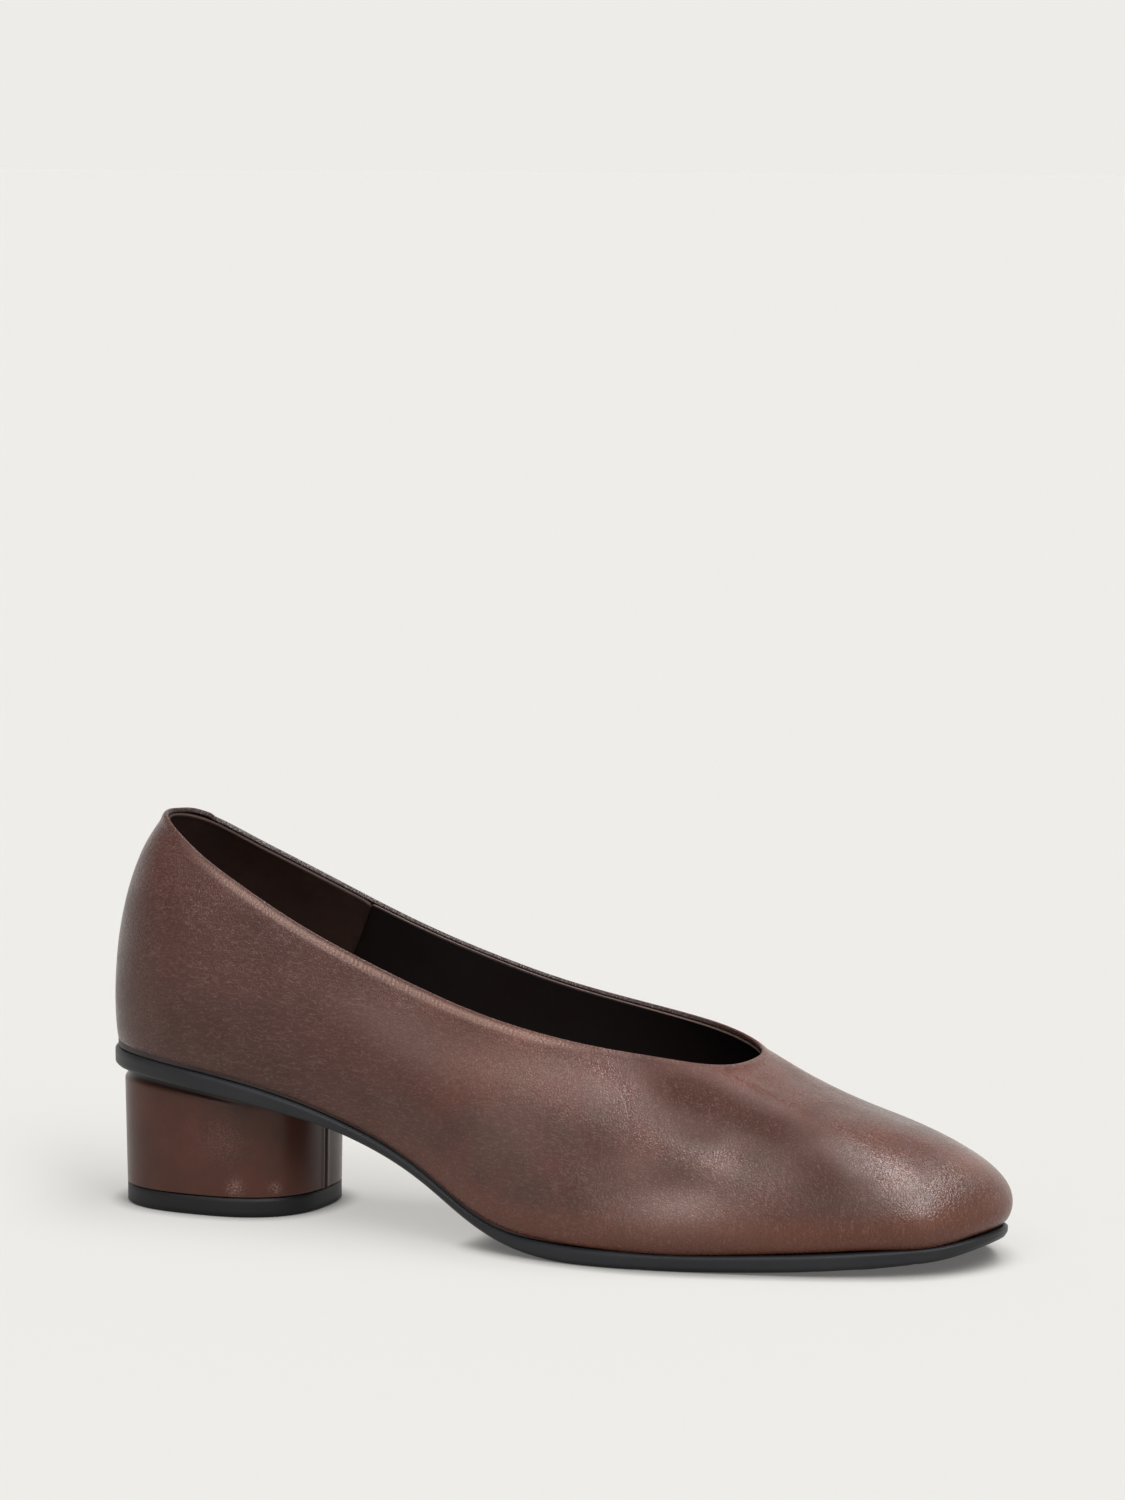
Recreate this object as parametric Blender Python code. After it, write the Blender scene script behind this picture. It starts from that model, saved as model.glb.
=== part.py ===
# Block heel pump, right shoe, standing on its sole.
# +X runs from heel to toe, -Y is the outer side, +Z is up. Sizes below are in millimetres.

import bpy
import math
import numpy as np

MM = 0.001

# Driving dimensions
LENGTH = 243.0          # outsole, rear to toe tip
BALL_WIDTH = 82.0       # outsole, across the ball
HEEL_HEIGHT = 37.0      # floor to the underside of the outsole at the rear
BACK_HEIGHT = 103.0     # floor to the topline at the back
TOE_INWARD = 8.5        # toe tip, to the inner side of the heel's centre line

# Thicknesses and fits
SOLE_EDGE_ROUND = 0.7   # rounding of the outsole's lower and upper edges
WALL = 1.8              # upper and its lining
FOLD_DEPTH = 2.8        # folded topline edge, down from the edge
FOLD_STEP = 0.4         # how far the fold stands out of the wall
FOLD_RAMP = 0.5         # height of the step itself
FOLD_ROUND = 0.8        # rounding at the edge of the collar
FEATHER_INSET = 1.3     # upper's lower edge, in from the outsole's edge
INSOLE_THICK = 2.2
FIT = 0.3               # gap between neighbouring pieces

# Block heel
HEEL_CENTRE_X = 32.0
HEEL_LONG = 54.4        # along the shoe, at the floor
HEEL_WIDE = 47.0        # across, at the floor
HEEL_FLARE = 0.5        # extra on each side under the outsole
HEEL_SQUARE = 2.6       # 2 is an ellipse, larger is squarer
TOP_PIECE_THICK = 5.0
TOP_PIECE_INSET = 0.25
TOP_PIECE_ROUND = 0.5

# Mesh density
SIDE_STEPS = 52         # round each side, rear to toe tip
WALL_ROWS = 14          # up the wall, below the fold
ROW_CROWDING = 1.35     # 1 spaces the rows evenly, more crowds them towards the sole
ACROSS_STEPS = 4        # across half of the sole and insole
HEEL_STEPS = 64
END_CROWDING = 0.55     # 0 spaces the points of a side evenly, 1 crowds them most at heel and toe
PATH_SAMPLES = 400      # along each line up the last, before it is spaced out
SHARP_ANGLE = math.radians(40)

# Outsole, one row for each section from heel to toe.
# at: share of LENGTH. outer, inner: edge to the centre line, as a share of BALL_WIDTH.
OUTLINE_COLUMNS = ("at", "outer", "inner")
OUTLINE = [
    (0.018, 0.168, 0.168),
    (0.055, 0.272, 0.272),
    (0.110, 0.325, 0.323),
    (0.180, 0.336, 0.328),
    (0.260, 0.328, 0.308),
    (0.340, 0.318, 0.292),
    (0.420, 0.338, 0.318),
    (0.500, 0.398, 0.388),
    (0.570, 0.442, 0.468),
    (0.630, 0.453, 0.522),
    (0.690, 0.430, 0.546),
    (0.760, 0.382, 0.546),
    (0.820, 0.334, 0.526),
    (0.880, 0.273, 0.484),
    (0.930, 0.196, 0.412),
    (0.970, 0.104, 0.306),
]

# under: floor to the outsole's underside, as a share of HEEL_HEIGHT. thick: in millimetres.
PROFILE_COLUMNS = ("at", "under", "thick")
PROFILE = [
    (0.00, 1.000, 3.6),
    (0.06, 0.990, 3.6),
    (0.12, 0.952, 3.6),
    (0.18, 0.897, 3.5),
    (0.24, 0.822, 3.3),
    (0.30, 0.716, 2.9),
    (0.36, 0.575, 2.6),
    (0.41, 0.418, 2.4),
    (0.45, 0.260, 2.4),
    (0.49, 0.131, 2.6),
    (0.53, 0.050, 3.2),
    (0.57, 0.012, 4.0),
    (0.60, 0.000, 4.2),
    (0.69, 0.000, 4.2),
    (0.74, 0.006, 4.2),
    (0.80, 0.020, 4.2),
    (0.86, 0.041, 4.2),
    (0.92, 0.073, 4.0),
    (0.96, 0.104, 3.5),
    (1.00, 0.188, 2.4),
]

# Last, one row for each section from heel to toe.
# crest: line of the instep, carried on level over the toe and the heel, as a share of BACK_HEIGHT.
# topline: height of the collar's edge, as a share of BACK_HEIGHT. It meets the crest at the throat.
# spine: where the section that starts at this place on the edge leans to, as a share of LENGTH.
# rise: height of the widest place above the feather edge.
# bulge_out, bulge_in: how far the widest place stands out on the outer and the inner side.
# full: shape of the section, where 2 is an ellipse and larger is fuller.
LAST_COLUMNS = ("at", "crest", "topline", "spine", "rise", "bulge_out", "bulge_in", "full")
LAST = [
    (0.00, 1.117, 1.004, 0.115, 12.0, 1.2, 1.2, 2.00),
    (0.06, 1.073, 0.988, 0.130, 12.0, 1.5, 1.6, 2.00),
    (0.12, 1.005, 0.914, 0.155, 12.5, 2.0, 2.1, 2.00),
    (0.18, 0.970, 0.843, 0.190, 13.0, 2.2, 2.6, 2.00),
    (0.25, 0.954, 0.766, 0.250, 14.0, 2.5, 3.4, 2.00),
    (0.32, 0.942, 0.697, 0.320, 14.5, 3.0, 4.8, 2.00),
    (0.39, 0.918, 0.637, 0.390, 14.5, 3.4, 6.0, 2.00),
    (0.46, 0.860, 0.586, 0.458, 13.5, 3.2, 5.6, 2.02),
    (0.53, 0.750, 0.548, 0.522, 12.0, 2.6, 3.6, 2.08),
    (0.60, 0.632, 0.516, 0.580, 10.5, 2.0, 2.4, 2.15),
    (0.67, 0.529, 0.485, 0.622, 10.0, 2.0, 2.0, 2.22),
    (0.73, 0.445, 0.450, 0.645, 9.5, 2.0, 2.0, 2.30),
    (0.80, 0.374, 0.428, 0.660, 9.0, 2.0, 2.0, 2.38),
    (0.88, 0.336, 0.414, 0.669, 8.0, 2.0, 2.0, 2.46),
    (0.95, 0.311, 0.404, 0.674, 7.0, 2.0, 2.0, 2.50),
    (1.00, 0.294, 0.396, 0.676, 6.4, 2.0, 2.0, 2.52),
]
SPINE_INWARD = 6.5      # spine at the throat, to the inner side of the heel's centre line


def remove_all():
    for old in list(bpy.data.objects):
        bpy.data.objects.remove(old, do_unlink=True)


def second_derivatives(knots, values, closed):
    # Slopes' slopes of a cubic spline through values at knots, natural or closed on itself.
    count = len(knots)
    step = np.diff(knots)
    system = np.zeros((count, count))
    right = np.zeros_like(values)
    for row in range(1, count - 1):
        system[row, row - 1] = step[row - 1]
        system[row, row] = 2 * (step[row - 1] + step[row])
        system[row, row + 1] = step[row]
        right[row] = 6 * ((values[row + 1] - values[row]) / step[row]
                          - (values[row] - values[row - 1]) / step[row - 1])
    system[0, 0] = 1
    system[-1, -1] = 1
    if closed:
        system[0, -1] = -1
        system[-1, [0, 1, -2, -1]] = [2 * step[0], step[0], step[-1], 2 * step[-1]]
        right[-1] = 6 * ((values[1] - values[0]) / step[0] - (values[-1] - values[-2]) / step[-1])
    return np.linalg.solve(system, right)


def spline(knots, values, closed=False):
    knots = np.asarray(knots, float)
    values = np.asarray(values, float)
    flat = values.reshape(len(knots), -1)
    bend = second_derivatives(knots, flat, closed)

    def at(where):
        where = np.atleast_1d(np.asarray(where, float))
        low = np.clip(np.searchsorted(knots, where, side="right") - 1, 0, len(knots) - 2)
        step = knots[low + 1] - knots[low]
        # Past the last row a column keeps its end value.
        inside = np.clip(where, knots[0], knots[-1])
        after = ((inside - knots[low]) / step)[:, None]
        before = 1 - after
        square = (step ** 2)[:, None] / 6
        result = (before * flat[low] + after * flat[low + 1]
                  + square * ((before ** 3 - before) * bend[low] + (after ** 3 - after) * bend[low + 1]))
        return result[:, 0] if values.ndim == 1 else result

    return at


def steady(knots, values):
    # Cubic curve that never swings past its rows, for the sole's height over the floor.
    knots = np.asarray(knots, float)
    values = np.asarray(values, float)
    rise = np.diff(values) / np.diff(knots)
    slope = np.zeros_like(values)
    slope[0], slope[-1] = rise[0], rise[-1]
    for row in range(1, len(knots) - 1):
        if rise[row - 1] * rise[row] > 0:
            slope[row] = 2 * rise[row - 1] * rise[row] / (rise[row - 1] + rise[row])

    def at(where):
        inside = np.clip(np.asarray(where, float), knots[0], knots[-1])
        low = np.clip(np.searchsorted(knots, inside, side="right") - 1, 0, len(knots) - 2)
        step = knots[low + 1] - knots[low]
        t = (inside - knots[low]) / step
        return ((2 * t ** 3 - 3 * t ** 2 + 1) * values[low] + (t ** 3 - 2 * t ** 2 + t) * step * slope[low]
                + (3 * t ** 2 - 2 * t ** 3) * values[low + 1] + (t ** 3 - t ** 2) * step * slope[low + 1])

    return at


def column(table, names, name, scale=1.0):
    place = names.index(name)
    return np.array([row[place] for row in table]) * scale


def last_curves():
    # One curve over x for each column of the last, in millimetres.
    scales = {"crest": BACK_HEIGHT, "topline": BACK_HEIGHT, "spine": LENGTH}
    at = column(LAST, LAST_COLUMNS, "at", LENGTH)
    return {name: spline(at, column(LAST, LAST_COLUMNS, name, scales.get(name, 1.0)))
            for name in LAST_COLUMNS[1:]}


def sole_under(x):
    at = column(PROFILE, PROFILE_COLUMNS, "at", LENGTH)
    return steady(at, column(PROFILE, PROFILE_COLUMNS, "under", HEEL_HEIGHT))(x)


def sole_top(x):
    at = column(PROFILE, PROFILE_COLUMNS, "at", LENGTH)
    return sole_under(x) + steady(at, column(PROFILE, PROFILE_COLUMNS, "thick"))(x)


def sole_outline():
    # Closed loop in plan: rear, outer side, toe tip, inner side. Sides have equal counts of points.
    at = column(OUTLINE, OUTLINE_COLUMNS, "at", LENGTH)
    outer = np.stack([at, -column(OUTLINE, OUTLINE_COLUMNS, "outer", BALL_WIDTH)], 1)
    inner = np.stack([at, column(OUTLINE, OUTLINE_COLUMNS, "inner", BALL_WIDTH)], 1)
    rear = np.array([[0.0, 0.0]])
    tip = np.array([[LENGTH, TOE_INWARD]])
    points = np.concatenate([rear, outer, tip, inner[::-1], rear])
    knots = np.concatenate([[0.0], np.cumsum(np.linalg.norm(np.diff(points, axis=0), axis=1))])
    curve = spline(knots, points, closed=True)
    tip_knot = knots[len(outer) + 1]
    turn = np.linspace(0, 1, SIDE_STEPS + 1)
    # Points crowd towards the rear and the tip, where the outline turns.
    spread = (1 - END_CROWDING) * turn + END_CROWDING * (1 - np.cos(math.pi * turn)) / 2
    return np.concatenate([curve(tip_knot * spread[:-1]),
                           curve(tip_knot + (knots[-1] - tip_knot) * spread[:-1])])


def outward(loop):
    along = np.roll(loop, -1, axis=0) - np.roll(loop, 1, axis=0)
    normal = np.stack([-along[:, 1], along[:, 0]], 1)
    normal /= np.linalg.norm(normal, axis=1)[:, None]
    # The loop runs from the rear along -Y to the toe, so its left side is the inside.
    return -normal


def add_object(name, points, faces, material, parent):
    mesh = bpy.data.meshes.new(name)
    mesh.from_pydata([tuple(point) for point in np.asarray(points) * MM], [], faces)
    mesh.validate()
    mesh.shade_smooth()
    mesh.set_sharp_from_angle(angle=SHARP_ANGLE)
    piece = bpy.data.objects.new(name, mesh)
    piece.data.materials.append(material)
    bpy.context.scene.collection.objects.link(piece)
    piece.parent = parent
    return piece


def principled(name, colour, roughness):
    material = bpy.data.materials.new(name)
    material.use_nodes = True
    shader = material.node_tree.nodes["Principled BSDF"]
    shader.inputs["Base Color"].default_value = (*colour, 1.0)
    shader.inputs["Roughness"].default_value = roughness
    shader.inputs["Metallic"].default_value = 0.0
    return material


def band(lower, upper, count):
    # Quads between two loops that start at these vertex numbers, facing out of the loop.
    return [(lower + i, lower + (i + 1) % count, upper + (i + 1) % count, upper + i) for i in range(count)]


def stacked_loops(loops):
    count = len(loops[0])
    faces = []
    for level in range(len(loops) - 1):
        faces += band(level * count, (level + 1) * count, count)
    return np.concatenate(loops), faces


def cap(rim, height, start, rim_start, faces_up):
    # Closes a loop with rows that run across it, from the outer side to the inner side.
    count = len(rim)
    half = count // 2
    share = np.linspace(0, 1, 2 * ACROSS_STEPS + 1)[1:-1]
    points = []
    rows = []
    for i in range(1, half):
        outer_edge, inner_edge = rim[i], rim[count - i]
        row = [rim_start + i]
        for part in share:
            place = outer_edge + (inner_edge - outer_edge) * part
            row.append(start + len(points))
            points.append((place[0], place[1], height(place[0])))
        rows.append(row + [rim_start + count - i])
    faces = []
    for near, far in zip(rows, rows[1:]):
        faces += [(near[k], far[k], far[k + 1], near[k + 1]) for k in range(len(near) - 1)]
    faces += [(rim_start, rows[0][k], rows[0][k + 1]) for k in range(len(rows[0]) - 1)]
    faces += [(rows[-1][k + 1], rows[-1][k], rim_start + half) for k in range(len(rows[-1]) - 1)]
    if not faces_up:
        faces = [face[::-1] for face in faces]
    return points, faces


def sheet(name, loops, under, top, material, parent):
    # Closed body between two surfaces whose heights depend on x, with the given side.
    count = len(loops[0])
    points, faces = stacked_loops(loops)
    points = list(map(tuple, points))
    low_points, low_faces = cap(loops[0][:, :2], under, len(points), 0, False)
    points += low_points
    high_points, high_faces = cap(loops[-1][:, :2], top, len(points), (len(loops) - 1) * count, True)
    points += high_points
    return add_object(name, points, faces + low_faces + high_faces, material, parent)


def raised(loop, height):
    return np.column_stack([loop, height])


def make_outsole(outline, material, parent):
    out = outward(outline)
    inset = outline - out * SOLE_EDGE_ROUND
    under, top = sole_under, sole_top
    low, high = under(outline[:, 0]), top(outline[:, 0])
    loops = [raised(inset, under(inset[:, 0])),
             raised(outline, low + SOLE_EDGE_ROUND),
             raised(outline, high - SOLE_EDGE_ROUND),
             raised(inset, top(inset[:, 0]))]
    return sheet("outsole", loops, under, top, material, parent)


def make_insole(feather, material, parent):
    edge = feather - outward(feather) * (WALL + FIT)

    def under(x):
        return sole_top(x) + FIT

    def top(x):
        return under(x) + INSOLE_THICK

    loops = [raised(edge, under(edge[:, 0])), raised(edge, top(edge[:, 0]))]
    return sheet("insole", loops, under, top, material, parent)


def line_up_the_last(last, foot, widest, foot_z, widest_z):
    # Round the feather edge to the widest place, then over towards the spine, as far as the topline.
    x = widest[0]
    spine_x = last["spine"](x)[0]
    throat_x = last["spine"](LENGTH)[0]
    spine = np.array([spine_x, SPINE_INWARD * spine_x / throat_x])
    power = 2 / last["full"](x)[0]
    turn = np.linspace(0, math.pi / 2, PATH_SAMPLES)
    low_plan = foot + (widest - foot) * np.sin(turn)[:, None]
    low_z = foot_z + (widest_z - foot_z) * (1 - np.cos(turn))
    plan = spine + (widest - spine) * (np.maximum(np.cos(turn), 0) ** power)[:, None]
    drop = last["crest"](x)[0] - widest_z
    high_z = last["crest"](plan[:, 0]) - drop * (1 - np.sin(turn) ** power)
    over = high_z - last["topline"](plan[:, 0])
    end = int(np.argmax(over > 0))
    low = np.column_stack([low_plan, low_z])
    high = np.column_stack([plan, high_z])
    share = -over[end - 1] / (over[end] - over[end - 1])
    edge = high[end - 1] + (high[end] - high[end - 1]) * share
    return np.concatenate([low, high[1:end], [edge]])


def resample(path, places):
    run = np.concatenate([[0.0], np.cumsum(np.linalg.norm(np.diff(path, axis=0), axis=1))])
    wanted = places(run[-1])
    return np.stack([np.interp(wanted, run, path[:, axis]) for axis in range(3)], 1)


def last_surface(feather, places):
    # Grid of points, rows up the wall and columns round the shoe.
    last = last_curves()
    x = feather[:, 0]
    on_outer_side = np.arange(len(x)) < len(x) // 2
    bulge = np.where(on_outer_side, last["bulge_out"](x), last["bulge_in"](x))
    widest = feather + outward(feather) * bulge[:, None]
    foot_z = sole_top(x) + FIT
    widest_z = foot_z + last["rise"](x)
    lines = [line_up_the_last(last, feather[i], widest[i], foot_z[i], widest_z[i]) for i in range(len(x))]
    return np.stack([resample(line, places) for line in lines], 1)


def grid_normals(grid):
    around = np.roll(grid, -1, axis=1) - np.roll(grid, 1, axis=1)
    up = np.gradient(grid, axis=0)
    normal = np.cross(around, up)
    return normal / np.linalg.norm(normal, axis=2)[:, :, None]


def make_upper(feather, material, parent):
    fold_rows = np.array([FOLD_DEPTH - FOLD_RAMP, FOLD_ROUND, 0.0])

    def places(run):
        rows = np.linspace(0, 1, WALL_ROWS) ** ROW_CROWDING
        return np.concatenate([rows * (run - FOLD_DEPTH), run - fold_rows])

    skin = last_surface(feather, places)
    normal = grid_normals(skin)
    # At the feather edge the wall is measured level, so that its lower rim lies flat on the sole.
    level = np.clip(np.arange(len(skin)) / 2, 0, 1)[:, None]
    inward = normal.copy()
    inward[:, :, 2] *= level
    inward /= np.linalg.norm(inward, axis=2)[:, :, None]
    lining = skin - inward * WALL
    outside = skin.copy()
    outside[WALL_ROWS:-1] += normal[WALL_ROWS:-1] * FOLD_STEP
    # The edge itself is rounded over: it ends in the middle of the wall.
    crown = (outside[-1] + lining[-1]) / 2 + (skin[-1] - skin[-2]) / 2
    loops = list(outside) + [crown] + list(lining[::-1])
    points, faces = stacked_loops(loops)
    count = len(feather)
    faces += band((len(loops) - 1) * count, 0, count)
    return add_object("upper", points, faces, material, parent)


def heel_loop(z, inset=0.0):
    # Rounded plan that widens a little towards the outsole.
    share = z / HEEL_HEIGHT
    long_half = HEEL_LONG / 2 + HEEL_FLARE * share - inset
    wide_half = HEEL_WIDE / 2 + HEEL_FLARE * share - inset
    turn = np.linspace(0, 2 * math.pi, HEEL_STEPS, endpoint=False)
    power = 2 / HEEL_SQUARE
    x = HEEL_CENTRE_X - long_half * np.sign(np.cos(turn)) * np.abs(np.cos(turn)) ** power
    y = -wide_half * np.sign(np.sin(turn)) * np.abs(np.sin(turn)) ** power
    return np.stack([x, y], 1)


def make_heel(material, parent):
    floor = TOP_PIECE_THICK + FIT

    def top(x):
        return sole_under(x) - FIT

    low, high = heel_loop(floor), heel_loop(HEEL_HEIGHT)
    loops = [raised(low, np.full(HEEL_STEPS, floor)), raised(high, top(high[:, 0]))]
    return sheet("heel", loops, lambda x: floor, top, material, parent)


def make_top_piece(material, parent):
    edge = heel_loop(0.0, TOP_PIECE_INSET)
    rounded = heel_loop(0.0, TOP_PIECE_INSET + TOP_PIECE_ROUND)
    loops = [raised(rounded, np.zeros(HEEL_STEPS)),
             raised(edge, np.full(HEEL_STEPS, TOP_PIECE_ROUND)),
             raised(edge, np.full(HEEL_STEPS, TOP_PIECE_THICK))]
    return sheet("heel_top_piece", loops, lambda x: 0.0, lambda x: TOP_PIECE_THICK, material, parent)


def main():
    remove_all()
    shoe = bpy.data.objects.new("block_heel_pump", None)
    bpy.context.scene.collection.objects.link(shoe)
    upper_leather = principled("brown waxed leather", (0.105, 0.052, 0.038), 0.42)
    heel_leather = principled("brown heel cover leather", (0.075, 0.034, 0.025), 0.36)
    sole_rubber = principled("black sole rubber", (0.022, 0.023, 0.025), 0.5)
    top_rubber = principled("black top piece rubber", (0.014, 0.014, 0.015), 0.55)
    sock_leather = principled("black sock leather", (0.020, 0.018, 0.017), 0.6)

    outline = sole_outline()
    feather = outline - outward(outline) * FEATHER_INSET
    pieces = [make_outsole(outline, sole_rubber, shoe),
              make_upper(feather, upper_leather, shoe),
              make_insole(feather, sock_leather, shoe),
              make_heel(heel_leather, shoe),
              make_top_piece(top_rubber, shoe)]
    # The origin lies under the middle of the whole shoe, on the floor.
    points = np.concatenate([[vertex.co[:] for vertex in piece.data.vertices] for piece in pieces])
    middle = (points.min(axis=0) + points.max(axis=0)) / 2
    shoe.location = (-middle[0], -middle[1], 0.0)


main()
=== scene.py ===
import bpy
import bmesh
import math
import numpy as np
from mathutils import Matrix, Vector, noise
from mathutils.kdtree import KDTree


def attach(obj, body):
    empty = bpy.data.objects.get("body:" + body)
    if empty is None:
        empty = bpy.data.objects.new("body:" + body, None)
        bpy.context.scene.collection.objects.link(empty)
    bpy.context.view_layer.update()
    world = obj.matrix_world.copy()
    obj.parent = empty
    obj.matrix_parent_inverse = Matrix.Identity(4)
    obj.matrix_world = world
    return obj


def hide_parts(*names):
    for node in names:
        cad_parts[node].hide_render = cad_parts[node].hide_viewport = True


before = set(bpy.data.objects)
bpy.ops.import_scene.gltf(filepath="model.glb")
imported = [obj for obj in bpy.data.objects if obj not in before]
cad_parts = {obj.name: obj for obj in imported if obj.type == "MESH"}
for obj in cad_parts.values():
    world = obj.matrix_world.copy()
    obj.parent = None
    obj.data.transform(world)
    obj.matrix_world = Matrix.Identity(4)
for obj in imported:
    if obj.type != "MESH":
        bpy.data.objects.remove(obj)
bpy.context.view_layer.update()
mm = 0.001
print("frame loaded:", sorted(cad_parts))


# helpers

def linear(hexColour):
    # sRGB hex to the linear colour that a shader takes
    parts = [int(hexColour[i:i + 2], 16) / 255 for i in (1, 3, 5)]
    return [c / 12.92 if c <= 0.04045 else ((c + 0.055) / 1.055) ** 2.4 for c in parts] + [1.0]


def newMaterial(name):
    material = bpy.data.materials.new(name)
    material.use_nodes = True
    return material, material.node_tree.nodes["Principled BSDF"]


def addNode(material, kind, inputs=None, **settings):
    tree = material.node_tree
    node = tree.nodes.new("ShaderNode" + kind)
    for name, value in settings.items():
        setattr(node, name, value)
    for socket, value in (inputs or {}).items():
        if isinstance(value, bpy.types.NodeSocket):
            tree.links.new(value, node.inputs[socket])
        else:
            node.inputs[socket].default_value = value
    return node


def wire(material, output, shader, socket):
    material.node_tree.links.new(output, shader.inputs[socket])


def cadCopy(name, bend=180):
    # merged copy of a CAD node, with triangles that bend less than this joined back to quads
    bm = bmesh.new()
    bm.from_mesh(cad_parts[name].data)
    bmesh.ops.remove_doubles(bm, verts=bm.verts[:], dist=1e-6)
    bmesh.ops.join_triangles(bm, faces=bm.faces[:], angle_face_threshold=math.radians(bend),
                             angle_shape_threshold=math.pi, topology_influence=1.0)
    return bm


def newPiece(name, bm, materials, node=None):
    mesh = bpy.data.meshes.new(name)
    bm.to_mesh(mesh)
    bm.free()
    mesh.shade_smooth()
    for material in materials:
        mesh.materials.append(material)
    piece = bpy.data.objects.new(name, mesh)
    bpy.context.scene.collection.objects.link(piece)
    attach(piece, "root")
    if node:
        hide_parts(node)
    return piece


def subdivide(piece, levels):
    step = piece.modifiers.new("Subdivision", "SUBSURF")
    step.levels = step.render_levels = levels


def applyModifiers(piece):
    depsgraph = bpy.context.evaluated_depsgraph_get()
    old = piece.data
    piece.data = bpy.data.meshes.new_from_object(piece.evaluated_get(depsgraph))
    piece.modifiers.clear()
    bpy.data.meshes.remove(old)
    piece.data.name = piece.name


def creaseSharpEdges(bm, angle, weight):
    layer = bm.edges.layers.float.get("crease_edge") or bm.edges.layers.float.new("crease_edge")
    for edge in bm.edges:
        if edge.calc_face_angle(0) > angle:
            edge[layer] = weight


def readPoints(mesh, kind):
    values = np.zeros(len(mesh.vertices) * 3)
    mesh.vertices.foreach_get(kind, values)
    return values.reshape(-1, 3)


def readAttribute(mesh, name):
    values = np.zeros(len(mesh.vertices))
    mesh.attributes[name].data.foreach_get("value", values)
    return values


def writeAttribute(mesh, name, values):
    mesh.attributes.new(name, "FLOAT", "POINT").data.foreach_set("value", values)


def nearest(points, targets):
    # distance to the nearest of the targets, and its number
    tree = KDTree(len(targets))
    for i, target in enumerate(targets):
        tree.insert(target, i)
    tree.balance()
    found = [tree.find(point) for point in points]
    return np.array([f[2] for f in found]), np.array([f[1] for f in found])


def softStep(low, high, value):
    t = np.clip((value - low) / (high - low), 0, 1)
    return t * t * (3 - 2 * t)


def hump(value, centre, width):
    return np.exp(-((value - centre) / width) ** 2)


# materials

# Waxed calf leather, aniline dyed and burnished by hand: cloudy brown, satin gloss, pebbled grain with pale wrinkles.
# The real grain and wrinkles are finer: they are drawn coarser than they are, so that they show in the render.
calf = dict(
    # pale and dark also paint highlight and shade in places, and turned is partly painted shade inside the edge
    red="#582f25", grey="#4e362f", rear="#432a27", dark="#341b12", pale="#8c7068", turned="#22120e",
    # the warm colour paints bounce light from the floor low on the front, the edge colour a highlight along the
    # topline
    floorBounce="#5b3121", edge="#a08276",
    cloud=38, blotch=9, pebble=0.8,     # sizes in mm
    wrinkle=(4.0, 0.9),                 # length and width in mm
    bend=(1.4, 1.1),                    # size of the noise that bends the grain, and how far it does, in mm
    dull=(30, -60, 0.6),                # from and to along the shoe in mm, and how far it goes to the rear colour
    mottle=0.4, paintedHighlight=0.55, paintedShade=0.85, dye=0.24, bare=0.2,        # how far each of them changes the colour; the second and third paint highlight and shade
    standing=(15, 40),                  # where the wrinkles turn upright, along the shoe in mm
    crest=(0.035, 0.35),                # a wrinkle's half width in its noise, and its height beside the grain's
    relief=0.12, strength=(0.8, 0.58),  # depth in mm, and strength at the rear and on the toe
    toe=(65, 105),                      # where the leather is stretched smoother, along the shoe in mm
    rough=(0.2, 0.32), matt=0.65,       # roughness, and what it rises by where shade is painted into the colour
    specular=0.33,
)


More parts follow.
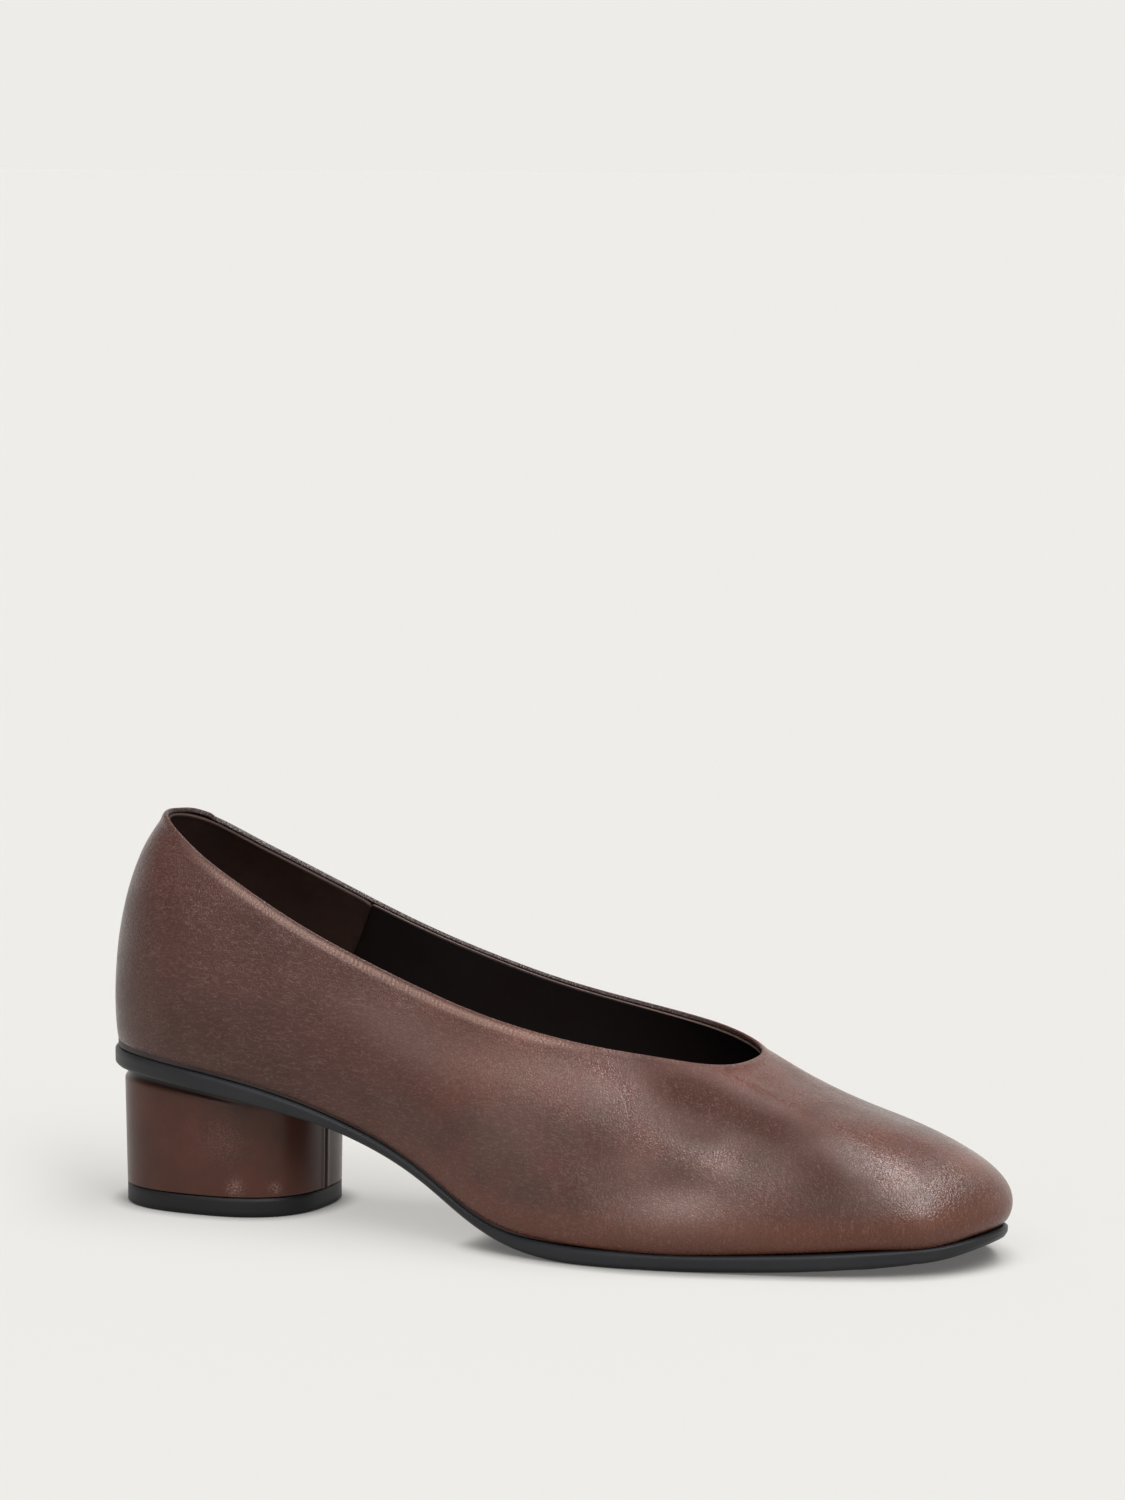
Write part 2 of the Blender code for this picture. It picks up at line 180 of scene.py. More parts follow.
def makeCalf():
    material, shader = newMaterial("waxed calf leather")
    place = addNode(material, "TexCoord").outputs["Object"]
    along = addNode(material, "SeparateXYZ", {"Vector": place}).outputs["X"]
    clouds = addNode(material, "TexNoise", {"Vector": place, "Scale": 1 / (calf["cloud"] * mm), "Detail": 3.0,
                                            "Roughness": 0.55})
    blotches = addNode(material, "TexNoise", {"Vector": place, "Scale": 1 / (calf["blotch"] * mm), "Detail": 2.0,
                                              "Roughness": 0.5})
    tone = addNode(material, "ValToRGB", {"Fac": clouds.outputs["Fac"]})
    tone.color_ramp.elements[0].position, tone.color_ramp.elements[0].color = 0.36, linear(calf["red"])
    tone.color_ramp.elements[1].position, tone.color_ramp.elements[1].color = 0.66, linear(calf["grey"])
    # duller towards the heel
    start, end, share = calf["dull"]
    rear = addNode(material, "MapRange", {"Value": along, "From Min": start * mm, "From Max": end * mm,
                                          "To Min": 0.0, "To Max": share}, interpolation_type="SMOOTHSTEP")
    dull = addNode(material, "Mix", {0: rear.outputs[0], 6: tone.outputs["Color"], 7: linear(calf["rear"])},
                   data_type="RGBA")
    patch = addNode(material, "MapRange", {"Value": blotches.outputs["Fac"], "From Min": 0.35, "From Max": 0.7,
                                           "To Min": 0.0, "To Max": calf["mottle"]})
    mottled = addNode(material, "Mix", {0: patch.outputs[0], 6: dull.outputs[2], 7: linear(calf["dark"])},
                      data_type="RGBA")
    # painted highlight (paler) and painted shade (darker) in places
    worn = addNode(material, "Attribute", attribute_name="wearAndPaintedLight").outputs["Fac"]
    paler = addNode(material, "MapRange", {"Value": worn, "To Max": calf["paintedHighlight"]})
    darker = addNode(material, "MapRange", {"Value": worn, "From Max": -1.0, "To Max": calf["paintedShade"]})
    paintedHighlight = addNode(material, "Mix", {0: paler.outputs[0], 6: mottled.outputs[2], 7: linear(calf["pale"])},
                     data_type="RGBA")
    # darker with painted shade where the mark is below zero
    waxed = addNode(material, "Mix", {0: darker.outputs[0], 6: paintedHighlight.outputs[2], 7: linear(calf["dark"])},
                    data_type="RGBA")
    # warmer low on the front: painted bounce light from the floor
    low = addNode(material, "Attribute", attribute_name="low").outputs["Fac"]
    bounceLit = addNode(material, "Mix", {0: low, 6: waxed.outputs[2], 7: linear(calf["floorBounce"])}, data_type="RGBA")
    # painted highlight along the topline's ridge, paler between the puckers and painted shade in them
    edge = addNode(material, "Attribute", attribute_name="edge").outputs["Fac"]
    edgeLit = addNode(material, "Mix", {0: edge, 6: bounceLit.outputs[2], 7: linear(calf["edge"])}, data_type="RGBA")
    # pebbled grain, its cells bent by a noise
    size, reach = calf["bend"]
    bend = addNode(material, "TexNoise", {"Vector": place, "Scale": 1 / (size * mm), "Detail": 2.0})
    bent = addNode(material, "VectorMath", {0: bend.outputs["Color"], 1: (0.5, 0.5, 0.5)}, operation="SUBTRACT")
    shift = addNode(material, "VectorMath", {0: bent.outputs[0], 1: (reach * mm,) * 3}, operation="MULTIPLY")
    wavy = addNode(material, "VectorMath", {0: place, 1: shift.outputs[0]}, operation="ADD")
    cells = addNode(material, "TexVoronoi", {"Vector": wavy.outputs[0], "Scale": 1 / (calf["pebble"] * mm)},
                    feature="DISTANCE_TO_EDGE")
    domed = addNode(material, "MapRange", {"Value": cells.outputs["Distance"], "From Min": 0.0, "From Max": 0.3,
                                           "To Min": 0.0, "To Max": 0.5}, interpolation_type="SMOOTHSTEP")
    # wrinkles lie along the shoe at the rear and stand up and down its front
    long, wide = (size * mm for size in calf["wrinkle"])
    start, end = calf["standing"]
    front = addNode(material, "MapRange", {"Value": along, "From Min": start * mm, "From Max": end * mm})
    lying = addNode(material, "Mapping", {"Vector": wavy.outputs[0], "Scale": (1 / long, 1 / wide, 1 / wide)})
    standing = addNode(material, "Mapping", {"Vector": wavy.outputs[0], "Scale": (1 / wide, 1 / wide, 1 / long)})
    lyingNoise = addNode(material, "TexNoise", {"Vector": lying.outputs[0], "Scale": 1.0, "Detail": 1.0,
                                                "Roughness": 0.6})
    standingNoise = addNode(material, "TexNoise", {"Vector": standing.outputs[0], "Scale": 1.0, "Detail": 1.0,
                                                   "Roughness": 0.6})
    wrinkles = addNode(material, "Mix", {0: front.outputs[0], 2: lyingNoise.outputs["Fac"],
                                         3: standingNoise.outputs["Fac"]})
    middle = addNode(material, "Math", {0: wrinkles.outputs[0], 1: 0.5}, operation="SUBTRACT")
    apart = addNode(material, "Math", {0: middle.outputs[0]}, operation="ABSOLUTE")
    half, height = calf["crest"]
    crest = addNode(material, "MapRange", {"Value": apart.outputs[0], "From Min": 0.0, "From Max": half,
                                           "To Min": 1.0, "To Max": 0.0})
    grain = addNode(material, "Math", {0: domed.outputs[0], 1: wrinkles.outputs[0]}, operation="ADD")
    relief = addNode(material, "Math", {0: crest.outputs[0], 1: height, 2: grain.outputs[0]},
                     operation="MULTIPLY_ADD")
    # dye sits darker in the grain's grooves, and is rubbed off the wrinkles' crests
    groove = addNode(material, "MapRange", {"Value": domed.outputs[0], "From Min": 0.35, "From Max": 0.0,
                                            "To Min": 0.0, "To Max": calf["dye"]})
    dyed = addNode(material, "Mix", {0: groove.outputs[0], 6: edgeLit.outputs[2], 7: linear(calf["dark"])},
                   data_type="RGBA")
    bare = addNode(material, "Math", {0: crest.outputs[0], 1: calf["bare"]}, operation="MULTIPLY")
    creased = addNode(material, "Mix", {0: bare.outputs[0], 6: dyed.outputs[2], 7: linear(calf["pale"])},
                      data_type="RGBA")
    # the inside of the turned edge is dark: partly the leather's darker inner face, partly painted shade
    within = addNode(material, "Attribute", attribute_name="inside").outputs["Fac"]
    inked = addNode(material, "MapRange", {"Value": within, "From Min": 0.52, "From Max": 0.75})
    edged = addNode(material, "Mix", {0: inked.outputs[0], 6: creased.outputs[2], 7: linear(calf["turned"])},
                    data_type="RGBA")
    wire(material, edged.outputs[2], shader, "Base Color")
    # stretched smoother over the toe
    start, end = calf["toe"]
    rearStrength, toeStrength = calf["strength"]
    taut = addNode(material, "MapRange", {"Value": along, "From Min": start * mm, "From Max": end * mm,
                                          "To Min": rearStrength, "To Max": toeStrength},
                   interpolation_type="SMOOTHSTEP")
    bump = addNode(material, "Bump", {"Height": relief.outputs[0], "Strength": taut.outputs[0],
                                      "Distance": calf["relief"] * mm})
    wire(material, bump.outputs["Normal"], shader, "Normal")
    gloss = addNode(material, "MapRange", {"Value": blotches.outputs["Fac"], "From Min": 0.3, "From Max": 0.7,
                                           "To Min": calf["rough"][0], "To Max": calf["rough"][1]})
    # matt where shade is painted into the colour
    matt = addNode(material, "MapRange", {"Value": worn, "From Min": 0.0, "From Max": -1.0,
                                          "To Min": 0.0, "To Max": calf["matt"]})
    rough = addNode(material, "Math", {0: gloss.outputs[0], 1: matt.outputs[0]}, operation="ADD")
    wire(material, rough.outputs[0], shader, "Roughness")
    shader.inputs["Specular IOR Level"].default_value = calf["specular"]
    return material


# Heel cover leather, the same calf stretched tight over the block: smoother and darker, with a soft even gloss.
# Its grain too is drawn coarser than it is.
# pale also paints a broad highlight, and seam also paints shade in the gap under the sole
cover = dict(brown="#47251b", dark="#381d15", pale="#a58a7e", seam="#120a08",
             cloud=14, scratch=0.45, grain=1.3,         # sizes in mm
             relief=0.05, strength=0.25,                # depth in mm, and strength
             rough=(0.36, 0.26), specular=0.28)


def makeCover():
    material, shader = newMaterial("stretched calf leather")
    place = addNode(material, "TexCoord").outputs["Object"]
    clouds = addNode(material, "TexNoise", {"Vector": place, "Scale": 1 / (cover["cloud"] * mm), "Detail": 4.0,
                                            "Roughness": 0.6})
    tone = addNode(material, "ValToRGB", {"Fac": clouds.outputs["Fac"]})
    tone.color_ramp.elements[0].position, tone.color_ramp.elements[0].color = 0.32, linear(cover["dark"])
    tone.color_ramp.elements[1].position, tone.color_ramp.elements[1].color = 0.68, linear(cover["brown"])
    # scuffed in a few places, with a broad painted highlight, dark in the seam, and painted shade in the gap under
    # the sole
    scratches = addNode(material, "TexNoise", {"Vector": place, "Scale": 1 / (cover["scratch"] * mm),
                                               "Detail": 4.0})
    broken = addNode(material, "MapRange", {"Value": scratches.outputs["Fac"], "From Min": 0.42,
                                            "From Max": 0.62})
    worn = addNode(material, "Attribute", attribute_name="wearAndPaintedLight").outputs["Fac"]
    scuffAndHighlight = addNode(material, "Math", {0: worn, 1: broken.outputs[0]}, operation="MULTIPLY")
    scuffedAndHighlit = addNode(material, "Mix", {0: scuffAndHighlight.outputs[0], 6: tone.outputs["Color"], 7: linear(cover["pale"])},
                      data_type="RGBA")
    seamAndGapShade = addNode(material, "Attribute", attribute_name="seam").outputs["Fac"]
    covered = addNode(material, "Mix", {0: seamAndGapShade, 6: scuffedAndHighlit.outputs[2], 7: linear(cover["seam"])}, data_type="RGBA")
    wire(material, covered.outputs[2], shader, "Base Color")
    cells = addNode(material, "TexVoronoi", {"Vector": place, "Scale": 1 / (cover["grain"] * mm)},
                    feature="SMOOTH_F1")
    bump = addNode(material, "Bump", {"Height": cells.outputs["Distance"], "Strength": cover["strength"],
                                      "Distance": cover["relief"] * mm})
    wire(material, bump.outputs["Normal"], shader, "Normal")
    gloss = addNode(material, "MapRange", {"Value": clouds.outputs["Fac"], "From Min": 0.3, "From Max": 0.7,
                                           "To Min": cover["rough"][0], "To Max": cover["rough"][1]})
    wire(material, gloss.outputs[0], shader, "Roughness")
    shader.inputs["Specular IOR Level"].default_value = cover["specular"]
    return material


# Lining and sock leathers: matt, with a fine grain that is drawn coarser than it is, so that it just shows
lining = dict(cloud=12, grain=0.8,              # sizes in mm
              relief=0.06, strength=0.4,        # depth in mm, and strength
              spread=0.08, specular=0.3)        # roughness varies this far up and down


def makeLining(name, colour, worn, rough):
    material, shader = newMaterial(name)
    place = addNode(material, "TexCoord").outputs["Object"]
    clouds = addNode(material, "TexNoise", {"Vector": place, "Scale": 1 / (lining["cloud"] * mm), "Detail": 5.0,
                                            "Roughness": 0.65})
    tone = addNode(material, "ValToRGB", {"Fac": clouds.outputs["Fac"]})
    tone.color_ramp.elements[0].position, tone.color_ramp.elements[0].color = 0.35, linear(colour)
    tone.color_ramp.elements[1].position, tone.color_ramp.elements[1].color = 0.75, linear(worn)
    wire(material, tone.outputs["Color"], shader, "Base Color")
    cells = addNode(material, "TexVoronoi", {"Vector": place, "Scale": 1 / (lining["grain"] * mm)},
                    feature="SMOOTH_F1")
    bump = addNode(material, "Bump", {"Height": cells.outputs["Distance"], "Strength": lining["strength"],
                                      "Distance": lining["relief"] * mm})
    wire(material, bump.outputs["Normal"], shader, "Normal")
    gloss = addNode(material, "MapRange", {"Value": clouds.outputs["Fac"], "From Min": 0.3, "From Max": 0.7,
                                           "To Min": rough + lining["spread"], "To Max": rough - lining["spread"]})
    wire(material, gloss.outputs[0], shader, "Roughness")
    shader.inputs["Specular IOR Level"].default_value = lining["specular"]
    return material


# Moulded rubber: charcoal, satin from the mould, with a very fine grit that is drawn coarser than it is
rubber = dict(cloud=16, grit=0.5,               # sizes in mm
              relief=0.05, strength=0.3,        # depth in mm, and strength
              spread=(-0.05, 0.06), specular=0.3)       # roughness varies between these


def makeRubber(name, colour, pale, rough):
    material, shader = newMaterial(name)
    place = addNode(material, "TexCoord").outputs["Object"]
    clouds = addNode(material, "TexNoise", {"Vector": place, "Scale": 1 / (rubber["cloud"] * mm), "Detail": 4.0,
                                            "Roughness": 0.6})
    grit = addNode(material, "TexNoise", {"Vector": place, "Scale": 1 / (rubber["grit"] * mm), "Detail": 2.0})
    tone = addNode(material, "ValToRGB", {"Fac": clouds.outputs["Fac"]})
    tone.color_ramp.elements[0].position, tone.color_ramp.elements[0].color = 0.3, linear(colour)
    tone.color_ramp.elements[1].position, tone.color_ramp.elements[1].color = 0.75, linear(pale)
    wire(material, tone.outputs["Color"], shader, "Base Color")
    bump = addNode(material, "Bump", {"Height": grit.outputs["Fac"], "Strength": rubber["strength"],
                                      "Distance": rubber["relief"] * mm})
    wire(material, bump.outputs["Normal"], shader, "Normal")
    gloss = addNode(material, "MapRange", {"Value": clouds.outputs["Fac"], "From Min": 0.3, "From Max": 0.7,
                                           "To Min": rough + rubber["spread"][0],
                                           "To Max": rough + rubber["spread"][1]})
    wire(material, gloss.outputs[0], shader, "Roughness")
    shader.inputs["Specular IOR Level"].default_value = rubber["specular"]
    return material


calfLeather = makeCalf()
coverLeather = makeCover()
vampLining = makeLining("black lining leather", "#100808", "#180e0d", 0.55)
quarterLining = makeLining("brown lining leather", "#2c1c18", "#38261f", 0.55)
sockLeather = makeLining("black sock leather", "#231c1b", "#302827", 0.5)
rawEdge = makeLining("raw edge of lining leather", "#54433c", "#66524a", 0.7)
inkedEdge = makeLining("inked edge of lining leather", "#33261f", "#423129", 0.7)
soleRubber = makeRubber("satin moulded rubber", "#16171a", "#1f2023", 0.46)
topPieceRubber = makeRubber("hard moulded rubber", "#0c0c0e", "#121215", 0.5)
print("materials made:", len(bpy.data.materials))


# upper

upperLook = dict(
    lining=0.62,                        # thickness kept free for the lining
    fold=0.4, foldRows=(2, 3),          # the CAD fold's own step, taken off before the edge is shaped here
    fineRows=3.6,                       # rows below the topline that get closer columns
    edgeGroove=(0.85, 0.5, -0.3),       # below the topline, half width, depth
    edgeRidge=(2.7, 1.4, 4.6, 0.75),    # below the topline, half width above and below it, height
    ridgeFade=((-104, -70), (5, 35), 0.8),              # comes in and goes out along the shoe, and how far it goes
    edgeHighlight=(1.6, 0.85, 0.75),         # below the topline, half width, how far its painted highlight goes
    pucker=(1.05, 1.7, 0.9, 0.26),      # pitch along the edge, below the topline, half width, depth
    puckerFade=((-104, -76), (8, 30), (-12, 2)),        # comes in and goes out along the shoe, and goes out across it
    puckerDrift=(0.8, 4),               # how far the pitch drifts, and over how many puckers
    puckerDepth=(0.6, 0.8, 6),          # mean and spread of their depth, and over how many puckers
    puckerLight=(0.55, 0.45),            # mean and swing of the painted highlight between them, with painted shade in them
    step=(-101.6, 0.5, 4),              # the small step in the inner side's edge: place, height, reach below it
    lowRidge=(6.0, 4.5, 0.8),           # above the sole, half width, height
    lowFade=(5, 40),                    # comes in along the shoe
    tuckHigh=2.6,                       # above the sole the leather turns in
    tuckRear=1.0,
    tuckFront=0.45,
    tuckFade=(-90, 40),                 # changes from rear to front along the shoe
    sway=(26.0, 0.16),                  # wavelength and height of the lasted leather's unevenness
    swayFade=((3, 12), (2, 9)),         # comes in below the topline and above the sole
    dentFade=(0.5, 5),                  # dents come in below the topline
    floorBounce=(0.75, (4, 12), (-60, -5)),    # how far the painted bounce light goes, goes out above the sole, comes in along the shoe
)

# soft troughs (-) and ridges (+) of the lasted leather, with painted highlight (+) or painted shade (-) in the
# colour:
# centre, direction, half length, half width, height, painted highlight or shade
dents = [
    ((60, -11.5, 42.5), (0.88, 0.24, -0.42), 12, 5, 0.8, 0.15),         # shoulder, from the throat
    ((66, -21, 36.5), (0.16, 0.95, 0.27), 14, 8, -0.9, 0.0),            # hollow behind the toe puff
    ((70, -20, 35), (0.93, 0.0, -0.36), 11, 8, 0.0, -0.8),
    ((83, -17, 33), (0.1, 0.95, 0.3), 15, 7, 0.6, 0.0),
    ((64, -30.5, 30), (0.9, -0.02, -0.4), 13, 8, -0.8, 0.0),            # pressed in below the shoulder
    ((53, -29.5, 37.5), (0.93, 0.15, -0.34), 16, 7, -1.4, 0.0),         # pressed in below the throat
    ((49, -23.5, 44), (0.91, 0.21, -0.35), 18, 8, 0.0, -1.0),
    ((50, -31, 37), (0.93, 0.1, -0.3), 20, 8, 0.0, -0.3),
    ((84.5, -25.5, 24), (0.84, -0.1, -0.54), 12, 7.5, 0.0, -0.8),
    ((91, -28, 12.5), (0.87, 0.5, 0.0), 13, 5, 0.0, -0.45),
    ((61.5, -33.5, 27.5), (0.95, 0.3, -0.1), 6.5, 4, 0.0, 0.6),
    ((113, 3, 24.5), (0.4, 0.85, -0.25), 10, 7, 0.0, 0.55),
    ((52, -38.8, 12), (0.98, 0.2, 0.05), 20, 7, 1.8, 0.0),              # fullness low on the side
    ((52, -39, 8), (0.98, 0.2, 0.05), 34, 5, 0.0, 0.5),
    ((52, -38, 16.5), (0.98, 0.2, 0.1), 13, 5, 0.0, 0.7),
    ((50, -38, 21), (0.95, 0.3, 0.0), 14, 5, -0.8, 0.0),
    ((31, -41, 24.5), (0.82, 0.0, -0.57), 9, 5, -0.9, 0.0),
    ((31, -38.5, 34), (1.0, 0.0, 0.0), 10, 6, 0.6, 0.0),
    ((41, -39.7, 25.5), (0.97, 0.2, 0.05), 9, 6, 0.0, 0.4),
    ((-2, -36.5, 36), (1.0, -0.1, 0.0), 28, 10, 1.8, 0.0),              # the side swells below the topline
    ((6, -34, 47), (1.0, 0.0, -0.1), 26, 8, 0.0, 0.65),
    ((-30, -30.2, 57), (1.0, 0.0, -0.15), 16, 5, 0.8, 0.2),
    ((-72, -31, 46), (1.0, 0.0, -0.35), 40, 11, 0.0, -0.5),             # darker above the heel
    ((107, -18, 12.5), (0.7, 0.71, 0.0), 10, 6, 1.6, 0.0),              # low on the toe
    ((102.5, -18, 22.5), (0.3, 0.5, -0.8), 5, 4, 0.0, 0.4),
    ((108.5, -17.8, 15), (0.7, 0.71, 0.0), 5, 4, 0.0, 0.4),
    ((106.5, -10.5, 25.5), (0.5, 0.8, -0.3), 5, 4, 0.0, -0.35),         # small patches of painted shade and painted highlight in the colour
    ((94, -24, 22), (0.6, 0.3, -0.7), 7, 4, 0.0, -0.3),
    ((55, -31.5, 33.5), (0.9, -0.1, -0.3), 7, 4, 0.0, -0.35),
    ((31.5, -33.5, 43.5), (0.9, 0.1, -0.35), 7, 5, 0.0, 0.35),
    ((18, -31.5, 52), (0.97, 0.1, -0.2), 10, 4, 0.0, -0.35),
    ((9, -38.6, 33), (0.97, -0.15, -0.2), 14, 7, 0.0, 0.3),
    ((-28, -31.5, 52.5), (0.93, -0.05, -0.36), 20, 6, 0.0, 0.3),
]


def dentSums(points):
    # height in mm at each point, and its painted highlight (+) or painted shade (-)
    height, wearAndPaintedLight = np.zeros(len(points)), np.zeros(len(points))
    for centre, direction, longHalf, wideHalf, high, worn in dents:
        away = points / mm - np.array(centre)
        line = np.array(direction) / np.linalg.norm(direction)
        along = away @ line
        across = np.linalg.norm(away - along[:, None] * line, axis=1)
        soft = np.exp(-(along / longHalf) ** 2 - (across / wideHalf) ** 2)
        height += high * soft
        wearAndPaintedLight += worn * soft
    return height, wearAndPaintedLight


def straightOn(edge, vert):
    # the edge that carries on past a vertex of four edges
    beside = set(edge.link_faces)
    return next(e for e in vert.link_edges if not beside & set(e.link_faces))


def readRows(bm):
    # the crown is the ring through the highest point; rows are counted down from it on both sides of the wall
    top = max(bm.verts, key=lambda v: v.co.z)
    edge = max(top.link_edges, key=lambda e: abs(e.other_vert(top).co.y - top.co.y))
    crown, vert = [top], edge.other_vert(top)
    while vert is not top:
        crown.append(vert)
        edge = straightOn(edge, vert)
        vert = edge.other_vert(vert)
    row = {v: 0 for v in crown}
    ring = crown
    while ring:
        below = {e.other_vert(v) for v in ring for e in v.link_edges} - row.keys()
        row.update({v: row[ring[0]] + 1 for v in below})
        ring = list(below)
    last = max(row.values())
    outer = {min((e.other_vert(top) for e in top.link_edges if e.other_vert(top) not in crown),
                 key=lambda v: v.co.x)}
    ring = outer
    while ring:
        ring = {w for v in ring if row[v] < last for w in [e.other_vert(v) for e in v.link_edges]
                if row[w] > 0} - outer
        outer = outer | ring
    return row, outer


def markRows(bm):
    down = bm.verts.layers.float.new("down")
    inside = bm.verts.layers.float.new("inside")
    row, outer = readRows(bm)
    for v in bm.verts:
        v[down] = row[v]
        v[inside] = 0.5 if row[v] == 0 else 0.0 if v in outer else 1.0
    return down, inside


def makeUpper():
    bm = cadCopy("upper")
    down, inside = markRows(bm)
    bm.normal_update()
    moves = {}
    for v in bm.verts:
        if v[inside] > 0.9:
            moves[v] = v.normal * (-upperLook["lining"] * mm)
        elif v[down] in upperLook["foldRows"]:
            moves[v] = v.normal * (-upperLook["fold"] * mm)
    for v, move in moves.items():
        v.co += move
    piece = newPiece("upper_leather", bm, [calfLeather], "upper")
    subdivide(piece, 2)
    applyModifiers(piece)
    refineEdge(piece.data)
    shapeLeather(piece.data)
    return piece


def refineEdge(mesh):
    # closer columns along the topline, for its puckers
    bm = bmesh.new()
    bm.from_mesh(mesh)
    down, inside = bm.verts.layers.float["down"], bm.verts.layers.float["inside"]
    level = [e for e in bm.edges if all(v[down] < upperLook["fineRows"] and v[inside] < 0.6 for v in e.verts)
             and abs(e.verts[0][down] - e.verts[1][down]) < 0.05]
    bmesh.ops.subdivide_edges(bm, edges=level, cuts=2)
    bm.to_mesh(mesh)
    bm.free()
    mesh.shade_smooth()


def shapeLeather(mesh):
    points, normals = readPoints(mesh, "co"), readPoints(mesh, "normal")
    down, inside = readAttribute(mesh, "down"), readAttribute(mesh, "inside")
    x, y = points[:, 0] / mm, points[:, 1] / mm
    outside = 1 - softStep(0.1, 0.6, inside)
    crown = np.flatnonzero(down < 0.05)
    feather = np.flatnonzero((down > down.max() - 0.05) & (inside < 0.05))
    # the crown's points in order round the shoe, from the back
    order = crown[np.argsort(np.arctan2(points[crown, 1] + 4 * mm, points[crown, 0]))]
    order = np.roll(order, -int(np.argmin(points[order, 0])))
    steps = np.linalg.norm(np.diff(points[order], axis=0, append=points[order[:1]]), axis=1)
    run = np.concatenate([[0.0], np.cumsum(steps)]) / mm
    # drop is below the topline, lift above the sole
    drop, which = nearest(points, points[order])
    lift, _ = nearest(points, points[feather])
    drop, lift = drop / mm, lift / mm

    # a groove and a soft ridge along the topline
    place, half, depth = upperLook["edgeGroove"]
    high = hump(drop, place, half) * depth
    place, above, below, depth = upperLook["edgeRidge"]
    high += hump(drop, place, np.where(drop < place, above, below)) * depth
    comes, goes, share = upperLook["ridgeFade"]
    high *= softStep(*comes, x) * (1 - share * softStep(*goes, x))

    # puckers along the outer side's edge, uneven in pitch and depth, with painted highlight between them and painted
    # shade in them
    pitch, place, half, depth = upperLook["pucker"]
    drift, over = upperLook["puckerDrift"]
    turns = run[which] / pitch
    turns += drift * np.array([noise.noise((t / over, 0.5, 0.5)) for t in turns])
    mean, spread, over = upperLook["puckerDepth"]
    often = np.clip(mean + spread * np.array([noise.noise((t / over, 3.5, 0.5)) for t in turns]), 0, 1)
    ripple = np.cos(2 * np.pi * turns)
    comes, goes, across = upperLook["puckerFade"]
    shown = softStep(*comes, x) * (1 - softStep(*goes, x)) * (1 - softStep(*across, y))
    high -= depth * (0.5 + 0.5 * ripple) * often * hump(drop, place, half) * shown
    place, half, pale = upperLook["edgeHighlight"]
    mean, swing = upperLook["puckerLight"]
    edgeLight = pale * hump(drop, place, half) * shown * (mean - swing * ripple * often) * outside

    # turned in above the sole, and uneven in between
    rear, front = upperLook["tuckRear"], upperLook["tuckFront"]
    tuck = rear + (front - rear) * softStep(*upperLook["tuckFade"], x)
    high -= tuck * np.clip(1 - lift / upperLook["tuckHigh"], 0, 1) ** 2
    wave, sway = upperLook["sway"]
    uneven = np.array([noise.fractal(Vector(p) / (wave * mm), 1.0, 2.0, 2) for p in points])
    below, above = upperLook["swayFade"]
    high += sway * uneven * softStep(*below, drop) * softStep(*above, lift)
    # fullness low on the front of the shoe
    place, half, depth = upperLook["lowRidge"]
    high += hump(lift, place, half) * depth * softStep(*upperLook["lowFade"], x)

    # dents go right through the wall
    bent, worn = dentSums(points)
    bent *= softStep(*upperLook["dentFade"], drop)
    high = (high + bent) * outside - bent * softStep(0.6, 1, inside)
    moved = points + normals * (high * mm)[:, None]
    place, raised, reach = upperLook["step"]
    far = softStep(-1, 5, y) * (1 - softStep(place - 0.8, place + 0.6, x))
    moved[:, 2] += raised * far * np.clip(1 - drop / reach, 0, 1) * mm
    mesh.vertices.foreach_set("co", moved.ravel())
    # painted highlight and shade from the dents and along the topline, and painted bounce light low on the front
    share, goes, comes = upperLook["floorBounce"]
    writeAttribute(mesh, "wearAndPaintedLight", worn * outside)
    writeAttribute(mesh, "edge", edgeLight)
    writeAttribute(mesh, "low", share * (1 - softStep(*goes, lift)) * softStep(*comes, x) * outside)
    mesh.update()


upperLeather = makeUpper()
print("upper:", len(upperLeather.data.polygons), "faces")


# lining, in two panels with a slanted seam

liningLook = dict(
    topRow=3,                   # row below the topline where it starts
    thick=0.55,
    seamPlace=(-60.7, 0.0, 75.2), seamNormal=(0.88, 0.0, -0.475),
    proud=0.2,                  # the rear panel lies over the front one
    under=0.8,                  # lower edge, below the sock's face
)


def makeLiningPanel(name, material, edge, rear):
    bm = cadCopy("upper")
    down, inside = markRows(bm)
    bm.normal_update()
    away = [f for f in bm.faces if any(v[inside] < 0.9 or v[down] < liningLook["topRow"] for v in f.verts)]
    bmesh.ops.delete(bm, geom=away, context="FACES")
    bmesh.ops.bisect_plane(bm, geom=bm.verts[:] + bm.edges[:] + bm.faces[:], dist=1e-7,
                           plane_co=Vector(liningLook["seamPlace"]) * mm,
                           plane_no=Vector(liningLook["seamNormal"]),
                           clear_outer=rear, clear_inner=not rear)
    last = max(v[down] for v in bm.verts)
    bent, _ = dentSums(np.array([v.co for v in bm.verts]))
    for v, height in zip(bm.verts, bent):
        v.co += v.normal * ((liningLook["proud"] if rear else 0) - height) * mm
        if v[down] > last - 0.05:
            v.co.z -= liningLook["under"] * mm
    piece = newPiece(name, bm, [material, edge])
    subdivide(piece, 1)
    wall = piece.modifiers.new("Solidify", "SOLIDIFY")
    wall.thickness = (liningLook["thick"] + (liningLook["proud"] if rear else 0)) * mm
    wall.offset = -1.0
    wall.material_offset_rim = 1
    wall.use_even_offset = True


makeLiningPanel("vamp_lining", vampLining, rawEdge, False)
makeLiningPanel("quarter_lining", quarterLining, inkedEdge, True)
print("lining: two panels")


# insole, a leather sock with a soft edge

insoleLook = dict(
    edge=0.9,
    reach=(2.7, 1.25),          # how far its rim reaches out to the lining, at the waist and at the ball
    reachFade=(-5, 45),         # from the waist to the ball
)


